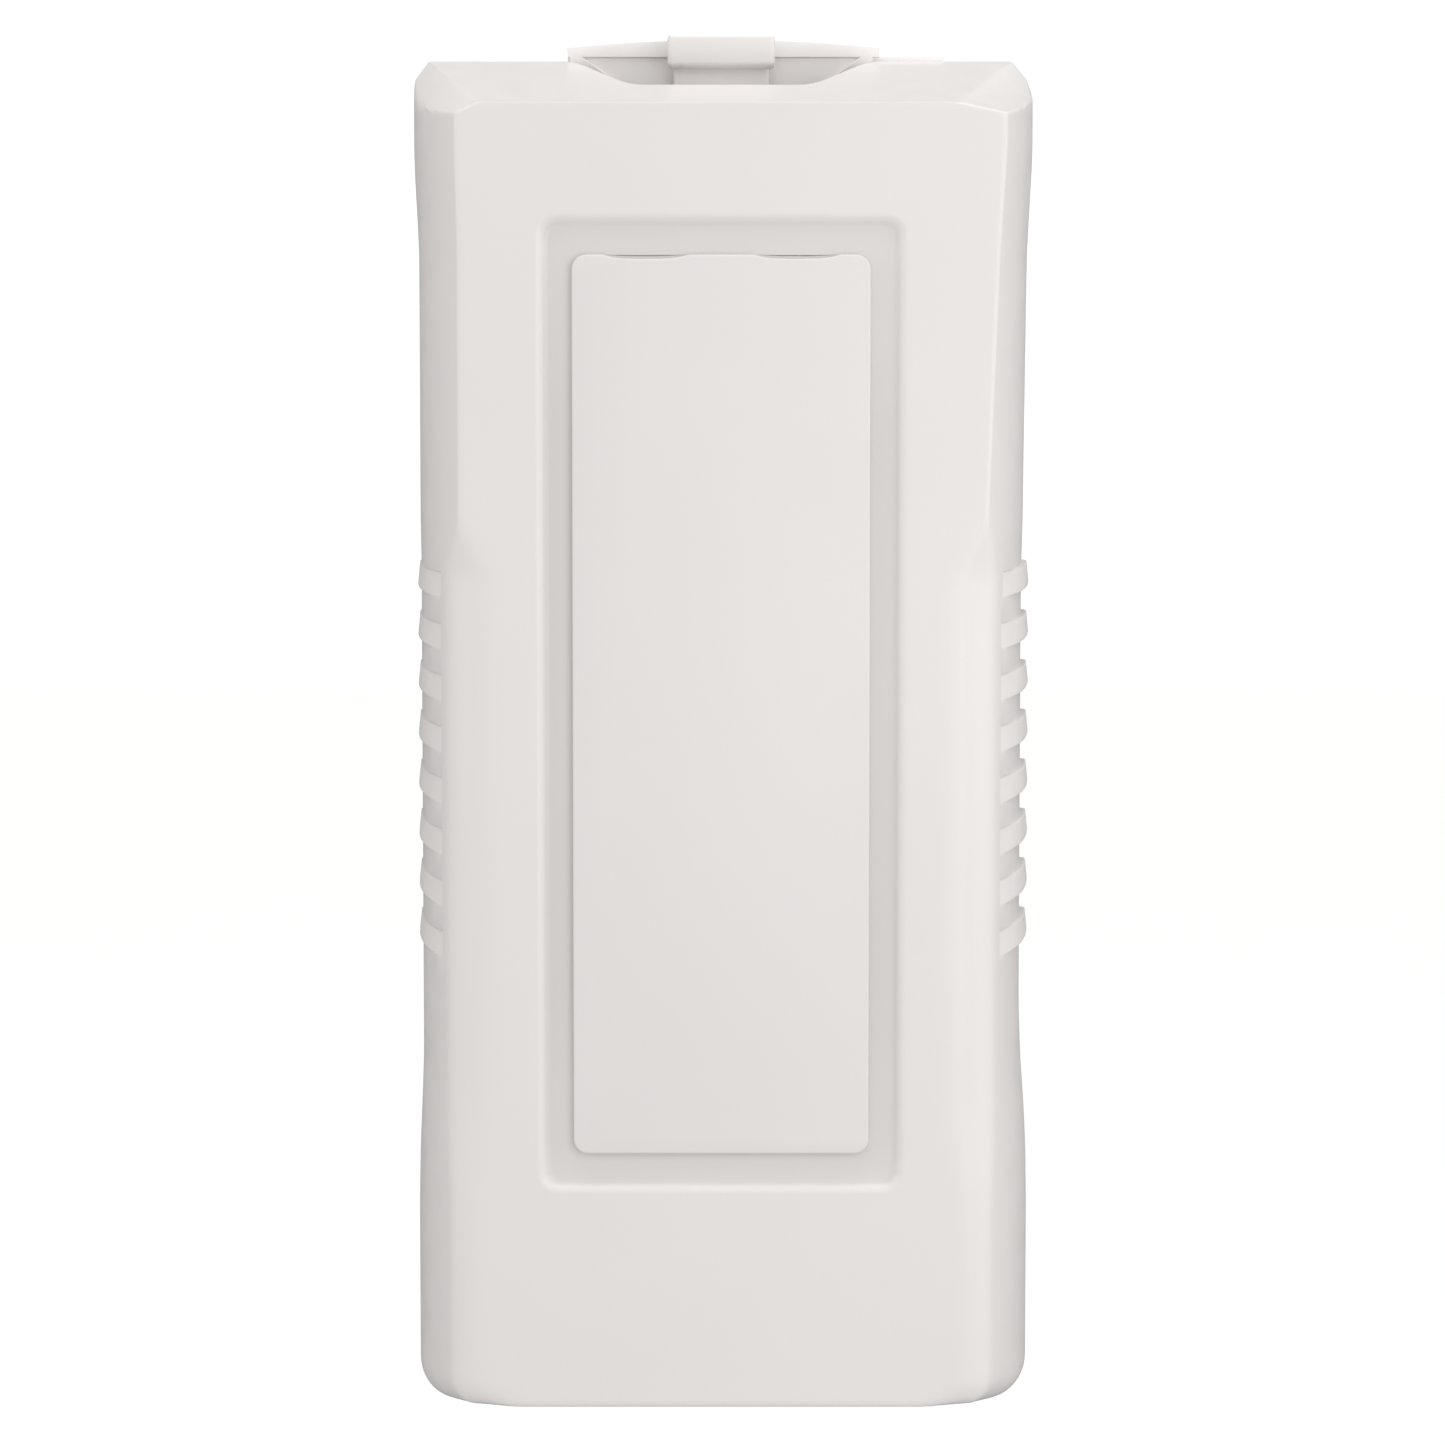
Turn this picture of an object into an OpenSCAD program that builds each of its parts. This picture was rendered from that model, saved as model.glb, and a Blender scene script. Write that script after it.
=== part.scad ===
// Fire blanket in a hard wall case.
// The back plate is screwed to a wall, the front cover tilts forward on two pins at its foot, a sprung
// latch holds the cover's top, and the folded blanket is pulled down out of the open bottom.
// Origin: centre of the wall face. +X is to the right of a person facing the case, +Y is into the
// wall, and +Z is up. Millimetres.

/* [Case] */
// Width across the back rim of the case
case_w = 140; // [136:1:146]
// Height of the case below its hanging flange
case_h = 298; // [294:1:306]
// Depth from the wall to the front face
case_d = 46; // [45:0.5:50]
// Width of the front face between its side edges
front_w = 117; // [113:1:120]
// How far the top face falls on its way to the front
top_drop = 13; // [10:0.5:15]
// Thickness of the moulded walls
wall = 2.2; // [1.8:0.1:2.4]
// Radius of the two bottom corners seen from the front
corner_r = 6; // [6:1:14]

/* [Front recess and panel] */
// Width of the recess around the label panel
recess_w = 79; // [76:1:84]
// Height of the recess
recess_h = 212; // [206:1:216]
// Depth of the recess
recess_depth = 1.8; // [1.5:0.1:3.6]
// Width of the label panel
panel_w = 64.6; // [60:0.2:68]
// Height of the label panel
panel_h = 196; // [190:1:200]

/* [Grip ribs] */
// Number of grip ribs on each side
rib_count = 8; // [4:1:10]
// Distance from one rib to the next
rib_pitch = 11.35; // [10:0.05:12]
// Height of one rib at its front end
rib_h = 5.4; // [3:0.1:6]

/* [Motion] */
// How far the cover tilts forward, in degrees
tilt = 25; // [15:1:25]
// How far the latch lifts
latch_travel = 4; // [3.5:0.1:4.5]

/* [Blanket] */
// Width of the folded blanket
pack_w = 110; // [100:1:112]
// Height of the folded blanket
pack_h = 240; // [230:1:242]
// Thickness of the folded blanket
pack_t = 22; // [16:0.5:22]

/* [Hidden] */
$fn = 48;

shell_white = [0.90, 0.89, 0.87];
panel_white = [0.91, 0.90, 0.88];
cloth_white = [0.86, 0.85, 0.80];
webbing_black = [0.08, 0.08, 0.09];
steel = [0.72, 0.73, 0.75];

// Case: the top edge, the bottom edge and how fast the sides close in towards the front
top_z = case_h / 2;
bottom_z = -case_h / 2;
side_slope = (case_w - front_w) / 2 / case_d;
side_angle = atan(side_slope);
side_k = sqrt(1 + side_slope * side_slope);
plate_t = 2.6;
joint_gap = 0.3;
rim_y = -plate_t - joint_gap;
top_slope = top_drop / (case_d + rim_y);
edge_r = 3;
lip_r = 3;
lip_depth = 5;
top_bevel_back = 3;
top_bevel_front = 5;
top_bevel_h = 3.2;
mouth_w = 113;

// Scoop in the top face, cut for a fingertip under the latch tab
scoop_half_w = 35;
scoop_depth = 25;
scoop_flare = 18.5;

// Recess, panel and the two narrow slots at the panel's top edge
recess_z = 5.5;
recess_r = 4;
panel_r = 3;
slot_x = 16.4;
slot_len = 18.5;
slot_h = 1.2;
peg_r = 2;
peg_clearance = 0.1;
peg_x = 22;
peg_z = 80;

// Grip ribs, which climb and narrow a little towards the wall
rib_top_z = 36.4;
rib_tip_h = 4.8;
rib_len = 33;
rib_proud = 1.1;
rib_back_y = -4;
rib_rise = 1.8;

// Hinge
pivot_y = -8;
pivot_z = bottom_z + 11;
pin_r = 2.5;
run_clearance = 0.05;
seat_clearance = 0.02;
lug_x = 59;
lug_t = 3.6;
lug_r = 4.6;
boss_x = 63.1;
pin_end_x = 66.3;
pin_head_r = 3.6;
pin_head_t = 1.4;

// Hanging flange, its lip, and the low step to its right
flange_half_w = 35.2;
flange_x = 0.5;
flange_rise = 4.8;
flange_arch = 1.8;
lip_band = 4;
lip_y = -3.4;
lip_low_z = top_z - 5;
lip_end_x = 34.2;
lip_end_top_w = 2.7;
lip_end_low_w = 11;
flange_low_z = top_z - 10;
step_end_x = 50.4;
step_rise = 1.2;

// Latch: stem, tab, hook, window for the spring, and the fixed post in that window
latch_w = 21.4;
stem_back_y = -5.4;
stem_front_y = -7.8;
stem_low_z = top_z - 31;
tab_w = 24;
tab_low_z = top_z - 2.2;
tab_h = 7.4;
tab_front_y = -13;
hook_z = top_z - 9.6;
hook_drop = 6;
hook_front_y = -17.6;
hook_t = 3.2;
hook_arm_t = 2.4;
tab_edge_r = 1.2;
window_w = 8;
window_low_z = top_z - 28;
window_h = 12;
post_low_z = window_low_z + 9.5;
post_h = 2.2;
post_w = 5.6;

// Latch bar of the cover
bar_front_y = -13.6;
bar_t = 3;
bar_top_z = top_z - 13;
bar_h = 4;

// Spring
spring_od = 5;
wire = 0.5;
spring_turns = 4.5;

// Blanket and its pull tapes
pack_back_y = -5.2;
pack_low_z = bottom_z + 21;
pack_fold_r = 5;
tape_w = 25;
tape_t = 2.4;
tape_x = 30;
tape_gap = 0.6;
tape_top_z = -70;
loop_r = 6.5;
sew_gap = 0.3;

// Screw holes in the back plate
screw_r = 2.5;
screw_spacing = 200;

// Half the width of the outside at depth y, where the wall is y = 0
function half_w(y) = case_w / 2 + side_slope * y;

// Points along an arc from angle a0 to angle a1
function arc(c, r, a0, a1, n = 8) =
    [for (i = [0:n]) let (a = a0 + (a1 - a0) * i / n) c + r * [cos(a), sin(a)]];

module rounded_rect(w, h, r) {
    square([w - 2 * r, h], center = true);
    square([w, h - 2 * r], center = true);
    for (sx = [-1, 1], sz = [-1, 1]) translate([sx * (w / 2 - r), sz * (h / 2 - r)]) circle(r);
}

// Stands a flat outline, drawn in X and Z, up between two depths
module upright(y_front, y_back) {
    translate([0, y_back, 0]) rotate([90, 0, 0]) linear_extrude(y_back - y_front) children();
}

// Depth of a point in front of the wall, counted from the front face of a shape drawn in by inset
function from_front(y, inset) = y + case_d - inset;

// How far a rounded edge of radius r has drawn the outline in at that depth
function drawn_in(r, depth) = depth >= r ? 0 : r - sqrt(r * r - (r - depth) * (r - depth));

// Half the width of the case at depth y, drawn in by inset and rounded at the front edge
function shell_half_w(y, inset) =
    half_w(y) - inset * side_k - drawn_in(edge_r, from_front(y, inset));

// Height of the sloped top face at depth y
function shell_top(y, inset) =
    top_z - top_slope * (rim_y - y) - inset * sqrt(1 + top_slope * top_slope);

// The back plate's outline, and the widest outline of the case
module plate_outline(inset) {
    w = case_w / 2 - inset;
    r = corner_r - inset;
    low = arc([w - r, bottom_z + corner_r], r, 0, -90);
    low_left = [for (i = [len(low) - 1:-1:0]) [-low[i][0], low[i][1]]];
    polygon(concat([[-w, top_z - top_bevel_h], [-w + top_bevel_back, top_z], [w - top_bevel_back, top_z],
        [w, top_z - top_bevel_h]], low, low_left));
}

// The case's outline in X and Z at depth y: bevelled at the top corners, round at the bottom ones
module station_outline(y, inset) {
    w = shell_half_w(y, inset);
    top = shell_top(y, inset);
    bottom = bottom_z + inset + drawn_in(lip_r, from_front(y, inset));
    r = corner_r - inset - drawn_in(edge_r, from_front(y, inset));
    bevel_w = top_bevel_back + (top_bevel_front - top_bevel_back) * (rim_y - y) / (case_d + rim_y);
    low = arc([w - r, bottom + r], r, 0, -90);
    low_left = [for (i = [len(low) - 1:-1:0]) [-low[i][0], low[i][1]]];
    polygon(concat([[-w, top - top_bevel_h], [-w + bevel_w, top], [w - bevel_w, top],
        [w, top - top_bevel_h]], low, low_left));
}

// The convex block that the case is cut from, drawn in by inset
module case_block(inset, back_y) {
    front_y = -case_d + inset;
    skin = 0.01;
    hull() {
        upright(back_y - skin, back_y) station_outline(back_y, inset);
        for (a = [0:15:90]) {
            y = front_y + lip_r * (1 - sin(a));
            upright(y, y + skin) station_outline(y, inset);
        }
    }
}

// The two narrow slots, flat along the top and curved below
module slot_outlines() {
    r = (slot_len * slot_len / 4 + slot_h * slot_h) / (2 * slot_h);
    for (sx = [-1, 1])
        translate([sx * slot_x, recess_z + panel_h / 2])
            intersection() {
                translate([0, r - slot_h]) circle(r, $fn = 180);
                translate([-slot_len / 2, -slot_h]) square([slot_len, slot_h]);
            }
}

module peg_places() {
    for (sx = [-1, 1], sz = [-1, 1]) translate([sx * peg_x, recess_z + sz * peg_z]) children();
}

// The scoop's depth at x, from 0 at its flared ends to 1 across its middle
function scoop_share(x) =
    let (t = max(0, min(1, (scoop_half_w + 1 - abs(x)) / scoop_flare))) t * t * (3 - 2 * t);

module scoop_cut() {
    translate([0, 0, top_z - top_drop - wall])
        linear_extrude(top_drop + 2 * wall)
            polygon(concat(
                [[scoop_half_w, 0]],
                [for (i = [20:-1:-20]) let (x = i * scoop_half_w / 20) [x, rim_y - scoop_depth * scoop_share(x)]],
                [[-scoop_half_w, 0]]
            ));
}

// Everything that would pass behind the rim once the cover is fully tilted
module tilt_relief() {
    reach = 30;
    translate([-case_w, pivot_y, pivot_z])
        rotate([-tilt, 0, 0])
            translate([0, rim_y - joint_gap - pivot_y, -reach])
                cube([2 * case_w, reach, 2 * reach]);
}

module grip_ribs() {
    sunk = 1;
    mid_rise = rib_rise * 0.62;
    mid_h = (rib_h + rib_tip_h) / 2;
    for (side = [-1, 1], i = [0:rib_count - 1])
        translate([side * half_w(rib_back_y), rib_back_y, rib_top_z - i * rib_pitch])
            mirror([side < 0 ? 1 : 0, 0, 0])
                rotate([0, 0, -side_angle])
                    translate([-sunk, 0, 0])
                        rotate([90, 0, 90])
                            linear_extrude(sunk + rib_proud)
                                polygon([
                                    [-rib_len, -rib_rise - rib_h], [-rib_len, -rib_rise],
                                    [-rib_len / 2, -mid_rise], [0, 0],
                                    [0, -rib_tip_h], [-rib_len / 2, -mid_rise - mid_h]
                                ]);
}

module latch_bar() {
    leg_t = 2.4;
    leg_x = scoop_half_w + 1.2;
    leg_top = top_z - top_slope * (rim_y - bar_front_y) - wall / 2;
    translate([-leg_x, bar_front_y, bar_top_z - bar_h]) cube([2 * leg_x, bar_t, bar_h]);
    for (side = [-1, 1])
        translate([side * (leg_x - leg_t / 2) - leg_t / 2, bar_front_y, bar_top_z - bar_h])
            cube([leg_t, bar_t, leg_top - bar_top_z + bar_h]);
}

module front_cover() {
    floor_y = -case_d + recess_depth;
    color(shell_white) difference() {
        union() {
            difference() {
                case_block(0, rim_y);
                difference() {
                    case_block(wall, 2);
                    upright(floor_y - 1, floor_y + wall)
                        translate([0, recess_z]) rounded_rect(recess_w + 2 * wall, recess_h + 2 * wall, recess_r);
                    for (side = [-1, 1])
                        translate([side * boss_x, pivot_y, pivot_z])
                            rotate([0, side * 90, 0]) cylinder(r = lug_r, h = case_w);
                    latch_bar();
                }
            }
            grip_ribs();
        }
        upright(-case_d - 1, floor_y) translate([0, recess_z]) rounded_rect(recess_w, recess_h, recess_r);
        upright(floor_y - 1, floor_y + wall + 1) slot_outlines();
        upright(floor_y - 1, floor_y + wall + 1) peg_places() circle(peg_r + peg_clearance);
        translate([-mouth_w / 2, -case_d + lip_depth, bottom_z - 1]) cube([mouth_w, case_d, corner_r + 1]);
        scoop_cut();
        for (side = [-1, 1])
            translate([side * (boss_x - 1), pivot_y, pivot_z])
                rotate([0, side * 90, 0]) cylinder(r = pin_r + run_clearance, h = pin_end_x + 0.4 - boss_x + 1);
        tilt_relief();
    }
}

module label_panel() {
    floor_y = -case_d + recess_depth;
    peg_len = wall + 1.2;
    color(panel_white) {
        difference() {
            upright(-case_d, floor_y) translate([0, recess_z]) rounded_rect(panel_w, panel_h, panel_r);
            upright(-case_d - 1, floor_y + 1) slot_outlines();
        }
        upright(floor_y, floor_y + peg_len) peg_places() circle(peg_r);
    }
}

// The flange's outline: an arch that is highest at its middle
module flange_outline() {
    r = (flange_half_w * flange_half_w + flange_arch * flange_arch) / (2 * flange_arch);
    a = asin(flange_half_w / r);
    translate([flange_x, 0])
        polygon(concat(
            [[-flange_half_w, flange_low_z], [flange_half_w, flange_low_z]],
            arc([0, top_z + flange_rise - r], r, 90 - a, 90 + a, 16)
        ));
}

// The flange's front lip: a band along its top and a slanted gusset below each end of the band
module lip_outline() {
    band_z = top_z + flange_rise - lip_band;
    intersection() {
        flange_outline();
        translate([-case_w, band_z]) square([2 * case_w, lip_band + 1]);
    }
    for (side = [0, 1]) mirror([side, 0])
        polygon([[lip_end_x, lip_low_z], [lip_end_x, band_z + 1], [lip_end_x - lip_end_top_w, band_z + 1],
            [lip_end_x - lip_end_top_w, band_z], [lip_end_x - lip_end_low_w, lip_low_z]]);
}

module hinge_lug() {
    translate([lug_x, pivot_y, pivot_z]) rotate([0, 90, 0]) cylinder(r = lug_r, h = lug_t);
    translate([lug_x, pivot_y, pivot_z - lug_r]) cube([lug_t, -pivot_y - plate_t / 2, 2 * lug_r]);
}

// One of the two guides that the latch runs between
module latch_guide() {
    side_gap = 0.5;
    guide_t = 2;
    hold = 2;
    guide_h = 16;
    x = latch_w / 2 + side_gap;
    front_y = stem_front_y - 0.4;
    translate([x, front_y - guide_t, stem_low_z - 2])
        cube([guide_t, -front_y + guide_t - plate_t / 2, guide_h]);
    translate([x - hold, front_y - guide_t, stem_low_z - 2]) cube([hold + guide_t / 2, guide_t, guide_h]);
}

module back_plate() {
    plate_inset = 0.8;
    rib_t = 2;
    rib_x = 63.2;
    rib_front_y = -8;
    rib_low_z = pivot_z + 18;
    rib_high_z = top_z - 8;
    top_rib_x = scoop_half_w + 3;
    rail_front_y = pack_back_y + 0.5;
    post_front_y = stem_front_y - 1.6;
    color(shell_white) difference() {
        union() {
            upright(-plate_t, 0) plate_outline(plate_inset);
            upright(-plate_t, 0) flange_outline();
            upright(lip_y, -plate_t / 2) lip_outline();
            translate([flange_x + flange_half_w - 1, -plate_t, top_z - 4])
                cube([step_end_x - flange_x - flange_half_w + 1, plate_t, step_rise + 4]);
            for (side = [0, 1]) mirror([side, 0, 0]) {
                translate([rib_x, rib_front_y, rib_low_z])
                    cube([rib_t, -rib_front_y - plate_t / 2, rib_high_z - rib_low_z]);
                translate([top_rib_x, rib_front_y, top_z - 6.6])
                    cube([rib_x - top_rib_x, -rib_front_y - plate_t / 2, rib_t]);
                for (x = [18, 40])
                    translate([x, rail_front_y, pack_low_z])
                        cube([rib_t, -rail_front_y - plate_t / 2, pack_h - 10]);
                hinge_lug();
                latch_guide();
            }
            translate([-post_w / 2, post_front_y, post_low_z])
                cube([post_w, -post_front_y - plate_t / 2, post_h]);
        }
        for (z = [-screw_spacing / 2, screw_spacing / 2])
            translate([0, 1, z]) rotate([90, 0, 0]) cylinder(r = screw_r, h = plate_t + 2);
        for (side = [-1, 1])
            translate([side * (lug_x - 1), pivot_y, pivot_z])
                rotate([0, side * 90, 0]) cylinder(r = pin_r + seat_clearance, h = lug_t + 2);
    }
}

// A push-in pin: its head is on the inner side of the lug
module hinge_pin() {
    translate([lug_x - pin_head_t, pivot_y, pivot_z]) rotate([0, 90, 0]) {
        cylinder(r = pin_head_r, h = pin_head_t);
        cylinder(r = pin_r, h = pin_end_x - lug_x + pin_head_t);
    }
}

module hinge_pin_left() {
    color(steel) mirror([1, 0, 0]) hinge_pin();
}

module hinge_pin_right() {
    color(steel) hinge_pin();
}

// The latch: a stem with a window, a thumb tab at its top and a hook over the cover's latch bar
module latch_slide() {
    stem_t = stem_back_y - stem_front_y;
    color(shell_white) {
        difference() {
            translate([-latch_w / 2, stem_front_y, stem_low_z])
                cube([latch_w, stem_t, tab_low_z + tab_h / 2 - stem_low_z]);
            translate([-window_w / 2, stem_front_y - 1, window_low_z]) cube([window_w, stem_t + 2, window_h]);
        }
        translate([-tab_w / 2, 0, 0])
            rotate([90, 0, 90])
                linear_extrude(tab_w)
                    translate([(tab_front_y + stem_back_y) / 2, tab_low_z + tab_h / 2])
                        rounded_rect(stem_back_y - tab_front_y, tab_h, tab_edge_r);
        translate([-latch_w / 2, hook_front_y, hook_z - hook_arm_t])
            cube([latch_w, stem_front_y - hook_front_y + stem_t / 2, hook_arm_t]);
        translate([-latch_w / 2, hook_front_y, hook_z - hook_drop]) cube([latch_w, hook_t, hook_drop]);
    }
}

// The spring's wire, swept along its helix from the window's foot to the post
module latch_spring() {
    mean_r = (spring_od - wire) / 2;
    steps = 12;
    sides = 8;
    rings = floor(spring_turns * steps);
    low = window_low_z + wire / 2 + 0.05;
    rise = post_low_z - window_low_z - wire - 0.1;
    mid_y = (stem_front_y + stem_back_y) / 2;
    pitch_angle = atan(rise / spring_turns / (2 * PI * mean_r));
    points = [
        for (i = [0:rings], s = [0:sides - 1])
            let (
                a = 360 * i / steps,
                b = 360 * s / sides,
                out = [cos(a), sin(a), 0],
                across = [sin(pitch_angle) * sin(a), -sin(pitch_angle) * cos(a), cos(pitch_angle)]
            )
                [0, mid_y, low + rise * i / rings] + mean_r * out
                    + wire / 2 * (cos(b) * out + sin(b) * across)
    ];
    sleeve = [
        for (i = [0:rings - 1], s = [0:sides - 1])
            let (n = (s + 1) % sides)
                [i * sides + s, i * sides + n, (i + 1) * sides + n, (i + 1) * sides + s]
    ];
    ends = [
        [for (s = [sides - 1:-1:0]) s],
        [for (s = [0:sides - 1]) rings * sides + s]
    ];
    color(steel) polyhedron(points, concat(sleeve, ends));
}

module blanket() {
    color(cloth_white)
        translate([0, pack_back_y - pack_t / 2, pack_low_z])
            linear_extrude(pack_h) rounded_rect(pack_w, pack_t, pack_fold_r);
}

// A pull tape: sewn to the front of the pack, looped below it and sewn under it
module pull_tape(x) {
    front_y = pack_back_y - pack_t - tape_gap - tape_t;
    bend_y = front_y + tape_t / 2 + loop_r;
    bend_z = pack_low_z - 6;
    back_y = bend_y + loop_r - tape_t / 2;
    color(webbing_black)
        translate([x - tape_w / 2, 0, 0])
            rotate([90, 0, 90])
                linear_extrude(tape_w) {
                    translate([front_y, bend_z]) square([tape_t, tape_top_z - bend_z]);
                    translate([back_y, bend_z]) square([tape_t, pack_low_z - sew_gap - bend_z]);
                    difference() {
                        translate([bend_y, bend_z]) circle(loop_r + tape_t / 2);
                        translate([bend_y, bend_z]) circle(loop_r - tape_t / 2);
                        translate([bend_y - 2 * loop_r, bend_z]) square(4 * loop_r);
                    }
                }
}

module pull_tape_left() {
    pull_tape(-tape_x);
}

module pull_tape_right() {
    pull_tape(tape_x);
}

back_plate();
front_cover();
label_panel();
latch_slide();
latch_spring();
hinge_pin_left();
hinge_pin_right();
blanket();
pull_tape_left();
pull_tape_right();
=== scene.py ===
"""A fire blanket in a white moulded wall case: its looks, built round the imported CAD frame.
Shapes are worked out in millimetres in the part's own frame and written to Blender in metres."""

import math

import bmesh
import bpy
import numpy as np
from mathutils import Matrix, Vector

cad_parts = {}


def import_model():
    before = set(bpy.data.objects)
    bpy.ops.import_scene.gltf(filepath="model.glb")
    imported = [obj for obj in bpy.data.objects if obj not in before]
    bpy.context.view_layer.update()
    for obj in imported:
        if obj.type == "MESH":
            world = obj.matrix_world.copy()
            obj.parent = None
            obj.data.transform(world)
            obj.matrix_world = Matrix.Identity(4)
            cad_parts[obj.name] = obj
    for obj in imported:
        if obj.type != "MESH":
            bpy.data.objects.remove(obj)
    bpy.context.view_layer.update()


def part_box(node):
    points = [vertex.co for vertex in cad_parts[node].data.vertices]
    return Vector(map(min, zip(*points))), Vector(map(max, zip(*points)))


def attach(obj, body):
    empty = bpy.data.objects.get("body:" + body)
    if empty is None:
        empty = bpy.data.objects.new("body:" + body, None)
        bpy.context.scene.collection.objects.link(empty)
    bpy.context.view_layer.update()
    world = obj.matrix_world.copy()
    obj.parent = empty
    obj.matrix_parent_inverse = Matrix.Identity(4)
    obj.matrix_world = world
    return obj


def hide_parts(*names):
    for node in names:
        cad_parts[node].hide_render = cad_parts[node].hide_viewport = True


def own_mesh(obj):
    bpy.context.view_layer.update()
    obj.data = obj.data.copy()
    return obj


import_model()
rng = np.random.default_rng(11)
MM = 0.001

# The case, in millimetres, mostly as in the CAD source
CASE_W, CASE_D, TOP, BOTTOM = 140.0, 46.0, 149.0, -149.0
SIDE_SLOPE = 0.276
CORNER_R = 6.0
TOP_SLOPE = 13.0 / 43.1
RIM_Y = -2.9
WALL = 2.2
RECESS_Z = 5.5
RECESS_HALF = (39.5, 106.0)
RECESS_DEPTH = 1.8
SCOOP_HALF_W, SCOOP_DEPTH = 35.0, 25.0
MOUTH_X, MOUTH_Y = 56.5, -41.0
SLOT_X, SLOT_LEN = 16.4, 18.5
SLOT_TOP = 103.5
PANEL_W, PANEL_H, PANEL_R = 64.6, 196.0, 3.2
SCOOP_FLARE = 18.5
TILT = 25.0
PIVOT_Y, PIVOT_Z = -8.0, -138.0
BOSS_X, LUG_X = 63.1, 59.0
FLANGE_X, FLANGE_HALF_W = 0.5, 35.2
STEM_HALF_W = 10.7
SCREW_Z = 100.0
BAR_Y, BAR_Z = (-13.6, -10.6), (TOP - 17, TOP - 13)  # the bar that the latch hooks over
RIB_TOPS = [36.4 - 11.35 * i for i in range(8)]
RIB_H, RIB_TIP_H, RIB_RISE = 5.4, 4.8, 1.8
RIB_FRONT, RIB_BACK = -36.0, -4.0
BELLY = 3.0  # how far the sides swell between their front and back edges
FOOT_DROP = 3.0  # how much lower the sides end than the front lip
RIB_SUNK, RIB_OUT = 0.4, (0.9, 1.9)  # front ends below the side; rise to the wall end, left and right
RIGHT_FULLER = (4.2, 0.9)  # the right side: at the front above the ribs, at the wall below them
RIM_STEPS = ((0.04, 0.1), (0.13, 0.18), (0.87, 0.18), (0.96, 0.1))  # share of the wall, bulge
CLOTH_SIDE = 1.2  # metres


# ---------------------------------------------------------------- small tools


def ease(t):
    t = np.clip(t, 0.0, 1.0)
    return t * t * (3 - 2 * t)


def make_mesh(name, points_mm, faces, material=None, sharp=40.0):
    """A mesh object from points in millimetres, smooth except over edges sharper than an angle."""
    mesh = bpy.data.meshes.new(name)
    mesh.from_pydata([tuple(p) for p in np.asarray(points_mm) * MM], [], [tuple(map(int, f)) for f in faces])
    mesh.validate()
    shade(mesh, sharp)
    piece = bpy.data.objects.new(name, mesh)
    bpy.context.scene.collection.objects.link(piece)
    if material:
        mesh.materials.append(material)
    return piece


def shade(mesh, sharp):
    mesh.polygons.foreach_set("use_smooth", [True] * len(mesh.polygons))
    mesh.set_sharp_from_angle(angle=math.radians(sharp))


def from_bmesh(bm, name="solid"):
    mesh = bpy.data.meshes.new(name)
    bm.to_mesh(mesh)
    bm.free()
    piece = bpy.data.objects.new(name, mesh)
    bpy.context.scene.collection.objects.link(piece)
    return piece


def block(x0, x1, y0, y1, z0, z1, bevel=0.35, rounds=2):
    """A box with rounded edges."""
    bm = bmesh.new()
    bmesh.ops.create_cube(bm, size=1.0)
    size = Vector((x1 - x0, y1 - y0, z1 - z0)) * MM
    middle = Vector((x0 + x1, y0 + y1, z0 + z1)) * MM / 2
    for v in bm.verts:
        v.co = Vector(a * b for a, b in zip(v.co, size)) + middle
    bmesh.ops.bevel(bm, geom=bm.edges[:], offset=bevel * MM, segments=rounds, profile=0.5, affect="EDGES")
    return from_bmesh(bm)


def side_block(side, x0, x1, *rest, bevel=0.35):
    """A block between two distances from the middle, on the left (-1) or on the right (1)."""
    return block(min(side * x0, side * x1), max(side * x0, side * x1), *rest, bevel)


def drawn_in(outline, by):
    """The outline, anticlockwise, drawn in by a distance along each corner's mitre."""
    p = np.asarray(outline, float)
    before, after = p - np.roll(p, 1, 0), np.roll(p, -1, 0) - p
    n1 = np.stack([-before[:, 1], before[:, 0]], 1) / np.maximum(np.linalg.norm(before, axis=1, keepdims=True), 1e-9)
    n2 = np.stack([-after[:, 1], after[:, 0]], 1) / np.maximum(np.linalg.norm(after, axis=1, keepdims=True), 1e-9)
    mitre = n1 + n2
    mitre /= np.maximum((mitre * n2).sum(1, keepdims=True), 0.35)
    return p + by * mitre


def upright(outline, y0, y1, bevel=0.35, rounds=2):
    """A solid from an outline in X and Z, stood up between two depths, with rounded rims."""
    rings = []
    for a in np.linspace(0, math.pi / 2, rounds + 1):
        rings.append((bevel * (1 - math.sin(a)), y0 + bevel * (1 - math.cos(a))))
    rings += [(inset, y1 + y0 - y) for inset, y in reversed(rings)]
    bm = bmesh.new()
    loops = []
    for inset, y in rings:
        loops.append([bm.verts.new((x * MM, y * MM, z * MM)) for x, z in drawn_in(outline, inset)])
    n = len(outline)
    for low, high in zip(loops, loops[1:]):
        for i in range(n):
            bm.faces.new((low[i], low[(i + 1) % n], high[(i + 1) % n], high[i]))
    bm.faces.new(loops[0][::-1])
    bm.faces.new(loops[-1])
    bmesh.ops.recalc_face_normals(bm, faces=bm.faces[:])
    bmesh.ops.triangulate(bm, faces=[f for f in bm.faces if len(f.verts) > 4])
    return from_bmesh(bm)


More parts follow.
